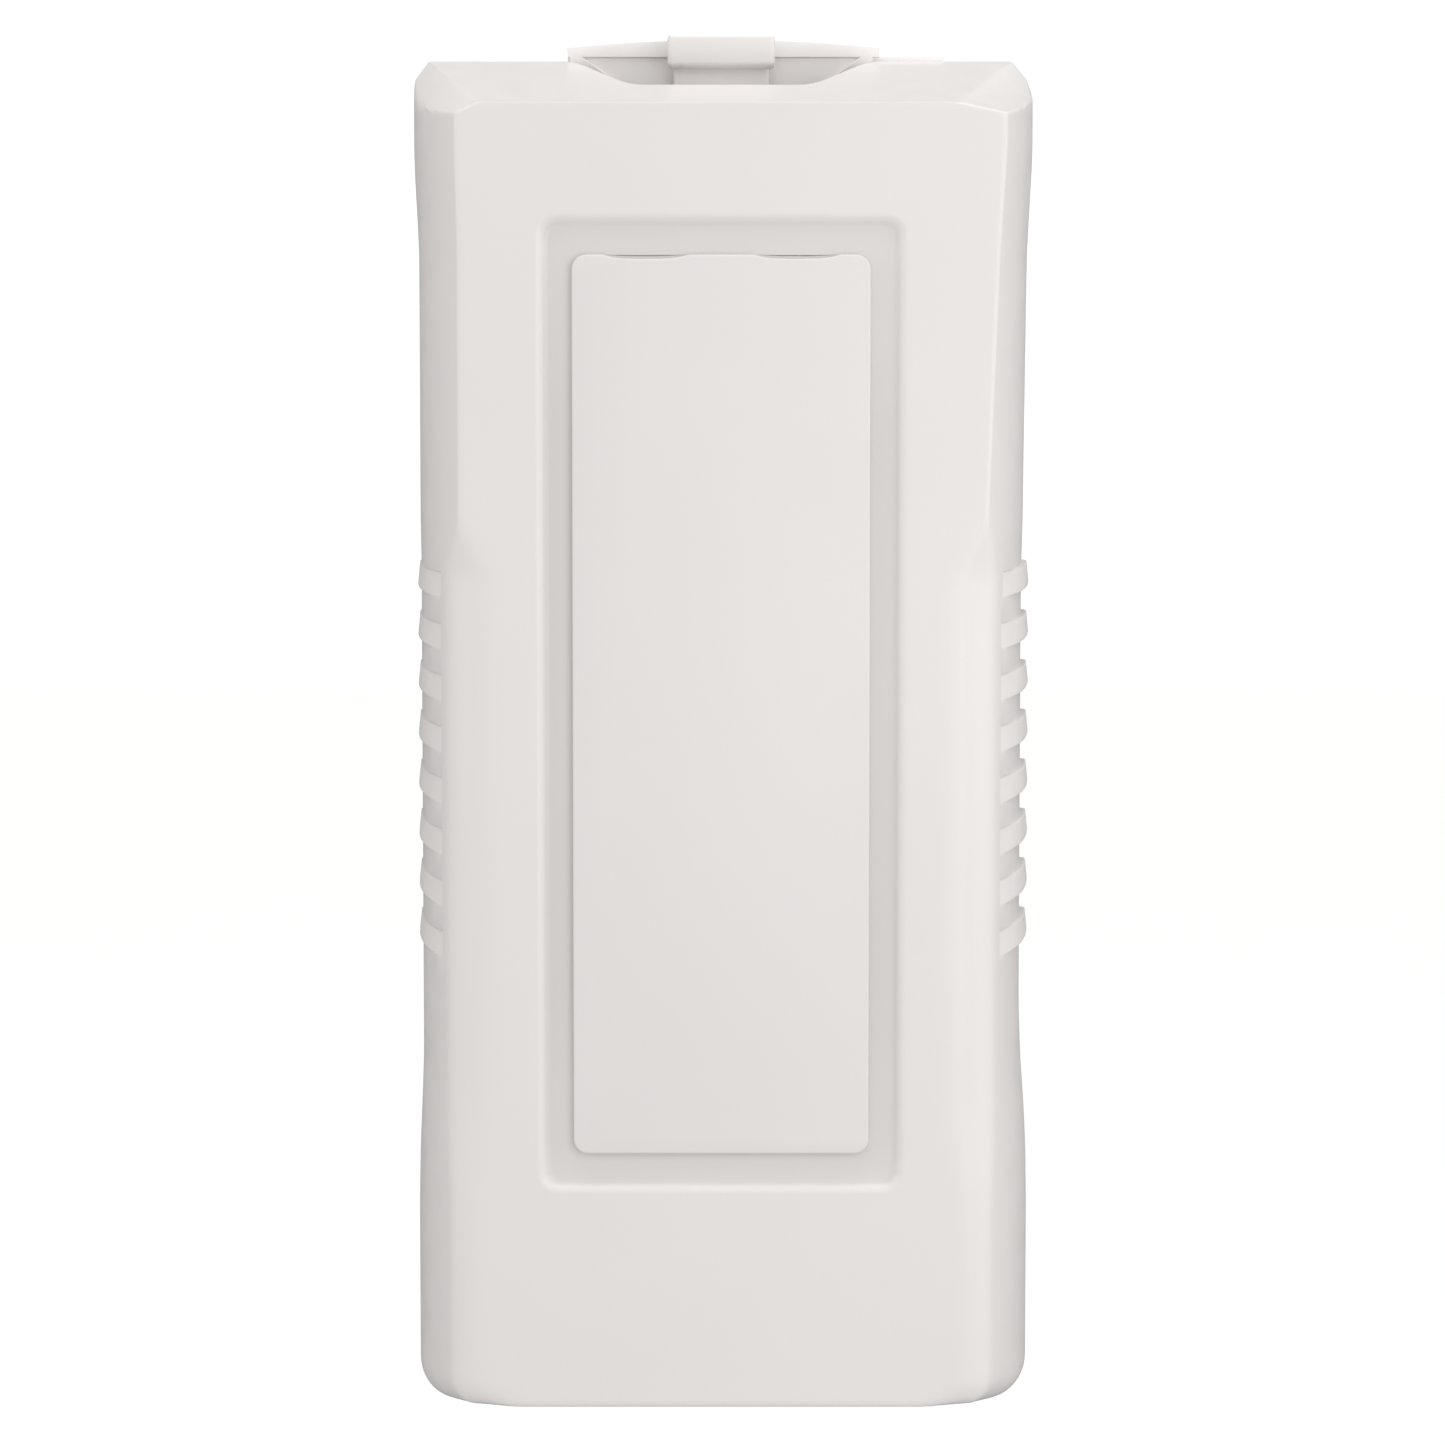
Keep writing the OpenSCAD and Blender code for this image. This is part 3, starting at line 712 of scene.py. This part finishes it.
def front_cover():
    shell = cover_shell()
    leg_x = SCOOP_HALF_W + 1.2
    leg_top = TOP - TOP_SLOPE * (RIM_Y - BAR_Y[0]) - WALL / 2
    solids = [shell, block(-leg_x, leg_x, *BAR_Y, *BAR_Z, 0.4)]
    for side in (-1, 1):
        solids.append(side_block(side, leg_x - 2.4, leg_x, *BAR_Y, BAR_Z[0], leg_top, bevel=0.3))
        solids.append(turned([(0, 0), (4.3, 0), (4.6, 0.3), (4.6, 3.6), (0, 3.6)],
                             (side * BOSS_X, PIVOT_Y, PIVOT_Z), (side, 0, 0)))
    bores = [
        turned([(0, -1), (2.55, -1), (2.55, 3.6), (0, 3.6)], (side * BOSS_X, PIVOT_Y, PIVOT_Z), (side, 0, 0))
        for side in (-1, 1)
    ]
    cover = joined("case_cover", solids, bores, SHELL, 34)
    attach(cover, "cover")
    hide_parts("front_cover")
    return cover


# ---------------------------------------------------------------- label panel


def rounded_outline(w, h, r, z0, n=8):
    pts = []
    for cx, cz, a0 in ((w / 2 - r, h / 2 - r, 0), (-w / 2 + r, h / 2 - r, 90), (-w / 2 + r, -h / 2 + r, 180),
                       (w / 2 - r, -h / 2 + r, 270)):
        for a in np.radians(np.linspace(a0, a0 + 90, n + 1)):
            pts.append((cx + r * math.cos(a), z0 + cz + r * math.sin(a)))
    return pts


def label_panel():
    outline = []
    for x, z in rounded_outline(PANEL_W, PANEL_H, PANEL_R, RECESS_Z):
        outline.append((x, z))
        if abs(x - (PANEL_W / 2 - PANEL_R)) < 1e-6 and z > SLOT_TOP - 1e-6:
            for centre in (SLOT_X, -SLOT_X):
                for off in np.linspace(SLOT_LEN / 2, -SLOT_LEN / 2, 19):
                    outline.append((centre + off, SLOT_TOP - slot_depth(off)))
    back = RECESS_DEPTH - CASE_D
    solids = [upright(outline, -CASE_D, back, 0.5, 4)]
    for sx in (-1, 1):
        for sz in (-1, 1):
            peg = [(0, -0.4), (1.9, -0.4), (1.9, 2.4), (2.05, 2.7), (1.5, 3.4), (0, 3.4)]
            solids.append(turned(peg, (sx * 22, back, RECESS_Z + sz * 80), (0, 1, 0), 32))
    panel = joined("case_label_panel", solids, (), PANEL, 30)
    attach(panel, "cover")
    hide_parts("label_panel")


# ---------------------------------------------------------------- back plate


def flange_outline(low, grow=0.0):
    half, rise, arch, x0 = FLANGE_HALF_W + grow, 4.8 + grow, 1.8, FLANGE_X
    r = (half**2 + arch**2) / (2 * arch)
    a = math.asin(half / r)
    pts = [(x0 - half, low), (x0 + half, low)]
    for t in np.linspace(math.pi / 2 - a, math.pi / 2 + a, 25):
        pts.append((x0 + r * math.cos(t), TOP + rise - r + r * math.sin(t)))
    return pts


def back_plate():
    w, r = CASE_W / 2 - 2.4, CORNER_R - 0.8
    plate = [(w - 3, TOP), (-w + 3, TOP), (-w, TOP - 4.2)]
    quarter = np.linspace(0, math.pi / 2, 12)
    plate += [(-w + r - r * math.cos(a), BOTTOM + CORNER_R - r * math.sin(a)) for a in quarter]
    plate += [(w - r + r * math.sin(a), BOTTOM + CORNER_R - r * math.cos(a)) for a in quarter]
    plate += [(w, TOP - 4.2)]
    band_z = TOP + 0.8
    lip = [(FLANGE_X - FLANGE_HALF_W, band_z), (-34.2, band_z), (-34.2, TOP - 5), (-23.2, TOP - 5), (-31.2, band_z)]
    lip += [(31.2, band_z), (23.2, TOP - 5), (34.2, TOP - 5), (34.2, band_z)]
    lip += flange_outline(band_z)[1:]
    solids = [
        upright(plate, -2.6, 0, 0.4),
        upright(flange_outline(TOP - 10), -2.6, 0, 0.45),
        upright(lip, -3.4, -1.6, 0.3),
        block(33, 50.4, -2.6, 0, TOP - 4, TOP + 1.2, 0.35),
    ]
    for side in (-1, 1):
        # locating ribs, rails behind the blanket, latch guides and the root of the hinge lug
        for box in (
            (62.4, 64.4, -8, -1.3, PIVOT_Z + 18, TOP - 8),
            (38, 62.7, -8, -1.3, TOP - 6.6, TOP - 4.6),
            (18, 20, -4.7, -1.3, -128, 102),
            (40, 42, -4.7, -1.3, -128, 102),
            (11.2, 13.2, -10.2, -1.3, 116, 132),
            (9.2, 12.2, -10.2, -8.2, 116, 132),
            (LUG_X, LUG_X + 3.6, -8, -1.3, PIVOT_Z - 4.6, PIVOT_Z + 4.6),
        ):
            solids.append(side_block(side, *box))
        solids.append(turned([(0, 0), (4.3, 0), (4.6, 0.3), (4.6, 3.3), (4.3, 3.6), (0, 3.6)],
                             (side * LUG_X, PIVOT_Y, PIVOT_Z), (side, 0, 0)))
    solids.append(block(-2.8, 2.8, -9.4, -1.3, 130.5, 132.7, 0.3))
    for z in (-SCREW_Z, SCREW_Z):
        solids.append(turned([(0, -3.2), (4.9, -3.2), (5.2, -2.9), (5.2, -1.0), (0, -1.0)], (0, 0, z), (0, 1, 0)))
    hole = [(0, -4), (3.1, -4), (2.5, -2.6), (2.5, 1), (0, 1)]
    cuts = [turned(hole, (0, 0, z), (0, 1, 0)) for z in (-SCREW_Z, SCREW_Z)]
    for side in (-1, 1):
        cuts.append(turned([(0, -1), (2.52, -1), (2.52, 5), (0, 5)], (side * LUG_X, PIVOT_Y, PIVOT_Z), (side, 0, 0)))
    plate = joined("case_back", solids, cuts, PLATE, 34)
    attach(plate, "back")
    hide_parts("back_plate")


# ---------------------------------------------------------------- latch, spring, pins


def latch():
    stem = joined("stem", [block(-STEM_HALF_W, STEM_HALF_W, -7.8, -5.4, 118, 150, 0.35)],
                  [block(-4, 4, -9, -4, 121, 133, 0.4)])
    solids = [
        stem,
        block(-12, 12, -13, -5.4, 146.8, 154.2, 1.1, 5),
        block(-STEM_HALF_W, STEM_HALF_W, -17.6, -6.6, 137, 139.4, 0.4),
        block(-STEM_HALF_W, STEM_HALF_W, -17.6, -14.4, 133.4, 139.4, 0.5, 3),
    ]
    for side in (-1, 1):
        solids.append(side_block(side, 6.5, 8.1, -10.5, -7, 134.5, 138, bevel=0.3))
    piece = joined("latch_tab", solids, (), LATCH, 30)
    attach(piece, "latch")
    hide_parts("latch_slide")


def tube(path, radius, sides=10):
    """A round wire along a path of points in millimetres, with flat ends."""
    path = np.asarray(path, float)
    ahead = np.gradient(path, axis=0)
    ahead /= np.linalg.norm(ahead, axis=1, keepdims=True)
    points, up = [], np.array([0.0, 0.0, 1.0])
    for p, t in zip(path, ahead):
        right = np.cross(t, up)
        right /= np.linalg.norm(right)
        over = np.cross(right, t)
        for s in range(sides):
            a = 2 * math.pi * s / sides
            points.append(p + radius * (math.cos(a) * right + math.sin(a) * over))
    faces = []
    for n in range(len(path) - 1):
        for s in range(sides):
            t = (s + 1) % sides
            faces.append((n * sides + s, n * sides + t, (n + 1) * sides + t, (n + 1) * sides + s))
    faces.append(tuple(range(sides))[::-1])
    faces.append(tuple((len(path) - 1) * sides + s for s in range(sides)))
    return points, faces


def spring():
    low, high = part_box("latch_spring")
    low, high = low / MM, high / MM
    wire, turns, steps = 0.5, 5.5, 26
    mean_r = (high.x - low.x - wire) / 2
    mid_x, mid_y = (low.x + high.x) / 2, (low.y + high.y) / 2
    path = []
    total = int(turns * steps)
    for n in range(total + 1):
        t = n / total
        rise = np.interp(t * turns, [0, 0.9, turns - 0.9, turns], [0.0, 0.07, 0.93, 1.0])
        a = 2 * math.pi * n / steps
        path.append((mid_x + mean_r * math.cos(a), mid_y + mean_r * math.sin(a),
                     low.z + wire / 2 + rise * (high.z - low.z - wire)))
    points, faces = tube(path, wire / 2)
    piece = make_mesh("latch_coil", points, faces, STEEL, 50)
    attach(piece, "back")
    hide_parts("latch_spring")
    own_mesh(piece)


def pins():
    profile = [(0, 0), (2.6, 0), (3.2, 0.15), (3.6, 0.55), (3.6, 1.25), (3.45, 1.4), (2.5, 1.4), (2.5, 8.2),
               (2.0, 8.7), (0, 8.7)]
    for side, word in ((-1, "left"), (1, "right")):
        piece = turned(profile, (side * 57.6, PIVOT_Y, PIVOT_Z), (side, 0, 0))
        piece.name = f"pin_{word}"
        shade(piece.data, 35)
        piece.data.materials.append(STEEL)
        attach(piece, "back")
        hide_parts(f"hinge_pin_{word}")


# ---------------------------------------------------------------- folded blanket


def accordion(count, straight, r, n_straight, n_turn):
    """Samples along a strip folded to and fro: (length so far, along, across, normal along, normal across)."""
    out, s, across = [], 0.0, 0.0
    for panel in range(count):
        up = panel % 2 == 0
        for t in np.linspace(0, 1, n_straight + 1):
            out.append((s + straight * t, straight * (t if up else 1 - t), across, 0.0, 1.0 if up else -1.0))
        s += straight
        if panel == count - 1:
            break
        for t in np.linspace(0, 1, n_turn + 1)[1:-1]:
            a = math.pi * t
            reach = r * math.sin(a)
            out.append((s + math.pi * r * t, straight + reach if up else -reach, across + r * (1 - math.cos(a)),
                        -math.sin(a), math.cos(a) if up else -math.cos(a)))
        s += math.pi * r
        across += 2 * r
    return np.array(out)


def blanket():
    low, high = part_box("blanket")
    low, high = low / MM, high / MM
    layers_x, layers_z = 11, 5
    layer = (high.y - low.y) / (layers_x * layers_z)
    half = layer * layers_x / 2
    first = accordion(layers_x, high.x - low.x - 1.6, layer / 2, 9, 6)
    second = accordion(layers_z, high.z - low.z - 4 * half - 0.4, half, 14, 9)
    u, along_x, across_x = first[:, 0], first[:, 1], first[:, 2]
    v, along_z, across_y, nz, ny = second.T
    U, V = np.meshgrid(u, v, indexing="ij")
    offset = (across_x - half + layer / 2)[:, None]
    X = np.broadcast_to(along_x[:, None], U.shape) + low.x + 0.8
    Y = across_y[None, :] + ny[None, :] * offset + low.y + half
    Z = along_z[None, :] + nz[None, :] * offset + low.z + 2 * half + 0.2
    # each fold ends a little short or long of its neighbours, and the stack is rounder at its sides
    mid_y, half_t = (low.y + high.y) / 2, (high.y - low.y) / 2
    turn = np.floor(U / (u[-1] / layers_x) + 0.5).astype(int)
    panel = np.floor(V / (v[-1] / layers_z)).astype(int)
    slack = rng.uniform(-0.7, 0.5, (layers_x + 2, layers_z + 1))[turn, np.clip(panel, 0, layers_z - 1)]
    side = np.clip(X / (high.x - 1), -1, 1)
    X = X - np.sign(X) * np.abs(side) ** 6 * (0.5 - slack * 0.6 + 2.4 * np.abs((Y - mid_y) / half_t) ** 5)
    ripple = 0.35 * np.sin(X / 17 + 1.1 * np.sin(Z / 41)) + 0.3 * np.sin(Z / 23 + X / 60 + 0.7)
    Y = mid_y + (Y - mid_y) * (0.965 + 0.02 * ripple)
    points = np.stack([X, Y, Z], -1).reshape(-1, 3)
    nu, nv = U.shape
    grid = np.arange(nu * nv).reshape(nu, nv)
    quads = np.stack([grid[:-1, :-1], grid[1:, :-1], grid[1:, 1:], grid[:-1, 1:]], -1).reshape(-1, 4)
    cloth = make_mesh("blanket_cloth", points, quads, CLOTH, 180)
    flat_u, flat_v = U / u[-1] * CLOTH_SIDE, V / v[-1] * CLOTH_SIDE
    uv = cloth.data.uv_layers.new(name="flat")
    loops = np.zeros(len(cloth.data.loops), np.int32)
    cloth.data.loops.foreach_get("vertex_index", loops)
    uv.data.foreach_set("uv", np.stack([flat_u.ravel()[loops], flat_v.ravel()[loops]], 1).astype(np.float32).ravel())
    edge = np.minimum(np.minimum(flat_u, CLOTH_SIDE - flat_u), np.minimum(flat_v, CLOTH_SIDE - flat_v)).ravel()
    hem = cloth.vertex_groups.new(name="hem")
    for n in np.nonzero(edge < 0.012)[0]:
        hem.add([int(n)], 1.0, "REPLACE")
    thick = cloth.modifiers.new("cloth", "SOLIDIFY")
    thick.thickness, thick.offset = layer * 0.9 * MM, 0.0
    thick.vertex_group, thick.thickness_vertex_group = "hem", 0.72
    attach(cloth, "blanket")
    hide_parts("blanket")
    return cloth


def strap(name, x_mid, path, width=25.0, thick=2.0):
    """A flat woven tape along a path in Y and Z, with rounded selvedges and a slight crown."""
    path = np.asarray(path, float)
    ahead = np.gradient(path, axis=0)
    ahead /= np.linalg.norm(ahead, axis=1, keepdims=True)
    normal = np.stack([-ahead[:, 1], ahead[:, 0]], 1)
    run = np.concatenate([[0], np.cumsum(np.linalg.norm(np.diff(path, axis=0), axis=1))])
    h = thick / 2
    section = []
    across = np.linspace(-width / 2 + h, width / 2 - h, 15)
    section += [(a, h * (0.94 + 0.06 * math.cos(a / width * math.pi))) for a in across]
    turn = np.linspace(math.pi / 2, -math.pi / 2, 6)[1:-1]
    section += [(width / 2 - h + h * math.cos(a), h * math.sin(a)) for a in turn]
    section += [(a, -h * (0.94 + 0.06 * math.cos(a / width * math.pi))) for a in across[::-1]]
    turn = np.linspace(-math.pi / 2, -3 * math.pi / 2, 6)[1:-1]
    section += [(-width / 2 + h + h * math.cos(a), h * math.sin(a)) for a in turn]
    points, uvs, faces = [], [], []
    m = len(section)
    for (py, pz), (ny, nz), s in zip(path, normal, run):
        for a, t in section:
            points.append((x_mid + a, py + ny * t, pz + nz * t))
            uvs.append(((a + width / 2) * MM, s * MM))
    for n in range(len(path) - 1):
        for s in range(m):
            t = (s + 1) % m
            faces.append((n * m + s, n * m + t, (n + 1) * m + t, (n + 1) * m + s))
    faces += [tuple(range(m))[::-1], tuple((len(path) - 1) * m + s for s in range(m))]
    piece = make_mesh(name, points, faces, WEB, 50)
    bm = bmesh.new()
    bm.from_mesh(piece.data)
    bmesh.ops.recalc_face_normals(bm, faces=bm.faces[:])
    bm.to_mesh(piece.data)
    bm.free()
    layer = piece.data.uv_layers.new(name="tape")
    loops = np.zeros(len(piece.data.loops), np.int32)
    piece.data.loops.foreach_get("vertex_index", loops)
    layer.data.foreach_set("uv", np.array(uvs, np.float32)[loops].ravel())
    return piece


def stitches(name, lines, y, length=2.6, gap=1.1, r=0.28):
    """Rows of sewn thread lying on a face at depth y: short rounded stitches along each line."""
    points, faces = [], []
    for (x0, z0), (x1, z1) in lines:
        run = math.hypot(x1 - x0, z1 - z0)
        dx, dz = (x1 - x0) / run, (z1 - z0) / run
        n = max(1, int(run / (length + gap)))
        for i in range(n):
            c = (i + 0.5) / n * run
            rings = []
            for t in np.linspace(-1, 1, 7):
                swell = r * math.sqrt(max(1 - abs(t) ** 3, 0.04))
                along = c + t * length / 2
                dip = 0.25 * abs(t) ** 3
                ring = []
                for a in np.linspace(0, 2 * math.pi, 7)[:-1]:
                    ox = swell * math.cos(a)
                    ring.append(len(points))
                    points.append((x0 + dx * along - dz * ox, y + dip - swell * math.sin(a),
                                   z0 + dz * along + dx * ox))
                rings.append(ring)
            for low, high in zip(rings, rings[1:]):
                for s in range(6):
                    faces.append((low[s], low[(s + 1) % 6], high[(s + 1) % 6], high[s]))
            faces += [tuple(rings[0][::-1]), tuple(rings[-1])]
    return make_mesh(name, points, faces, THREAD, 180)


def tapes():
    made = []
    for word in ("left", "right"):
        low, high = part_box(f"pull_tape_{word}")
        low, high = low / MM, high / MM
        x_mid = (low.x + high.x) / 2
        mid_y, bend_z = (low.y + high.y) / 2, -134.0
        front_y, r = low.y + 1.2, (high.y - low.y) / 2 - 1.2
        path = [(front_y, z) for z in np.linspace(high.z, bend_z, 34)]
        path += [(mid_y - r * math.cos(a), bend_z - r * math.sin(a)) for a in np.linspace(0, math.pi, 19)[1:]]
        path += [(mid_y + r, z) for z in np.linspace(bend_z, -128.4, 6)[1:]]
        tape = strap(f"pull_tape_{word}_webbing", x_mid, path)
        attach(tape, "blanket")
        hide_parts(f"pull_tape_{word}")
        x0, x1, z1, z0 = x_mid - 9.5, x_mid + 9.5, high.z - 2.5, high.z - 24
        box = [((x0, z0), (x1, z0)), ((x1, z0), (x1, z1)), ((x1, z1), (x0, z1)), ((x0, z1), (x0, z0)),
               ((x0, z0), (x1, z1)), ((x0, z1), (x1, z0))]
        sewn = stitches(f"tape_stitching_{word}", box, front_y - 1.0)
        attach(sewn, "blanket")
        made += [tape, sewn]
    return made


front_cover()
label_panel()
back_plate()
latch()
spring()
pins()
cloth = blanket()
tapes()


# ---------------------------------------------------------------- floor, light and camera


def floor():
    m = Nodes("pale_floor")
    place = m.add("ShaderNodeTexCoord").outputs["Object"]
    speck = m.noise(place, 3.0, 3.0)
    m.set(Base_Color=m.mix(speck, (0.93, 0.93, 0.925, 1), (0.95, 0.95, 0.945, 1)), Roughness=0.9)
    m.shader.inputs["Specular IOR Level"].default_value = 0.1
    m.shader.inputs["Emission Color"].default_value = (1, 1, 1, 1)
    m.shader.inputs["Emission Strength"].default_value = 0.35
    bm = bmesh.new()
    bmesh.ops.create_grid(bm, x_segments=8, y_segments=8, size=9.0)
    plane = from_bmesh(bm, "floor")
    plane.location = (0, 0, -0.55)
    plane.data.materials.append(m.material)
    plane.visible_diffuse = plane.visible_glossy = False


TENT_TOWARDS = (0.0, -0.96, 0.28)
TENT_DARK, TENT_BRIGHT = 0.05, 0.755


def world():
    w = bpy.data.worlds.new("studio")
    bpy.context.scene.world = w
    w.use_nodes = True
    tree = w.node_tree
    tree.nodes.clear()
    link = tree.links.new

    def node(kind, **settings):
        n = tree.nodes.new(kind)
        for k, v in settings.items():
            setattr(n, k, v)
        return n

    # a light tent: bright in front and above, dim behind and below
    place = node("ShaderNodeTexCoord").outputs["Generated"]
    towards = node("ShaderNodeVectorMath", operation="DOT_PRODUCT")
    link(place, towards.inputs[0])
    towards.inputs[1].default_value = TENT_TOWARDS
    level = node("ShaderNodeMapRange", interpolation_type="SMOOTHSTEP")
    link(towards.outputs["Value"], level.inputs["Value"])
    for name, value in (("From Min", -0.97), ("From Max", -0.25), ("To Min", TENT_DARK), ("To Max", TENT_BRIGHT)):
        level.inputs[name].default_value = value
    light = node("ShaderNodeBackground")
    light.inputs["Color"].default_value = (1.0, 0.995, 0.99, 1)
    link(level.outputs[0], light.inputs["Strength"])
    seen = node("ShaderNodeBackground")
    seen.inputs["Color"].default_value = (1, 1, 1, 1)
    seen.inputs["Strength"].default_value = 1.1
    rays = node("ShaderNodeLightPath")
    both = node("ShaderNodeMixShader")
    link(rays.outputs["Is Camera Ray"], both.inputs[0])
    link(light.outputs[0], both.inputs[1])
    link(seen.outputs[0], both.inputs[2])
    out = node("ShaderNodeOutputWorld")
    link(both.outputs[0], out.inputs["Surface"])


def softbox(name, place, aim, size, power, tint=(1, 1, 1)):
    data = bpy.data.lights.new(name, "AREA")
    data.shape, data.size, data.size_y, data.energy, data.color = "RECTANGLE", size[0], size[1], power, tint
    lamp = bpy.data.objects.new(name, data)
    bpy.context.scene.collection.objects.link(lamp)
    lamp.location = place
    lamp.rotation_euler = (Vector(aim) - Vector(place)).to_track_quat("-Z", "Y").to_euler()
    lamp.visible_camera = False


def camera():
    data = bpy.data.cameras.new("camera")
    data.sensor_width, data.lens = 36.0, 3890 / 1445 * 36
    cam = bpy.data.objects.new("camera", data)
    bpy.context.scene.collection.objects.link(cam)
    elevation, distance = math.radians(4.0), 0.870
    look = Vector((0.0003, -0.022, 0.0006))
    back = Vector((0, -math.cos(elevation), math.sin(elevation)))
    cam.location = look + back * distance
    cam.rotation_euler = (-back).to_track_quat("-Z", "Y").to_euler()
    data.clip_start = 0.05
    bpy.context.scene.camera = cam


floor()
world()
softbox("key", (0.28, -0.47, 0.08), (0, 0, 0.02), (0.3, 0.5), 0.7)
softbox("top", (0.1, -0.15, 1.1), (0, 0, 0.05), (0.8, 0.6), 3.8)
softbox("fill_left", (-1.0, -0.3, 0.25), (0, 0, 0), (0.6, 0.8), 1.4)
softbox("fill_right", (1.0, -0.2, 0.2), (0, 0, 0), (0.6, 0.8), 1.2)
camera()
view = bpy.context.scene.view_settings
view.view_transform, view.look, view.exposure, view.gamma = "Standard", "None", 0.0, 1.0
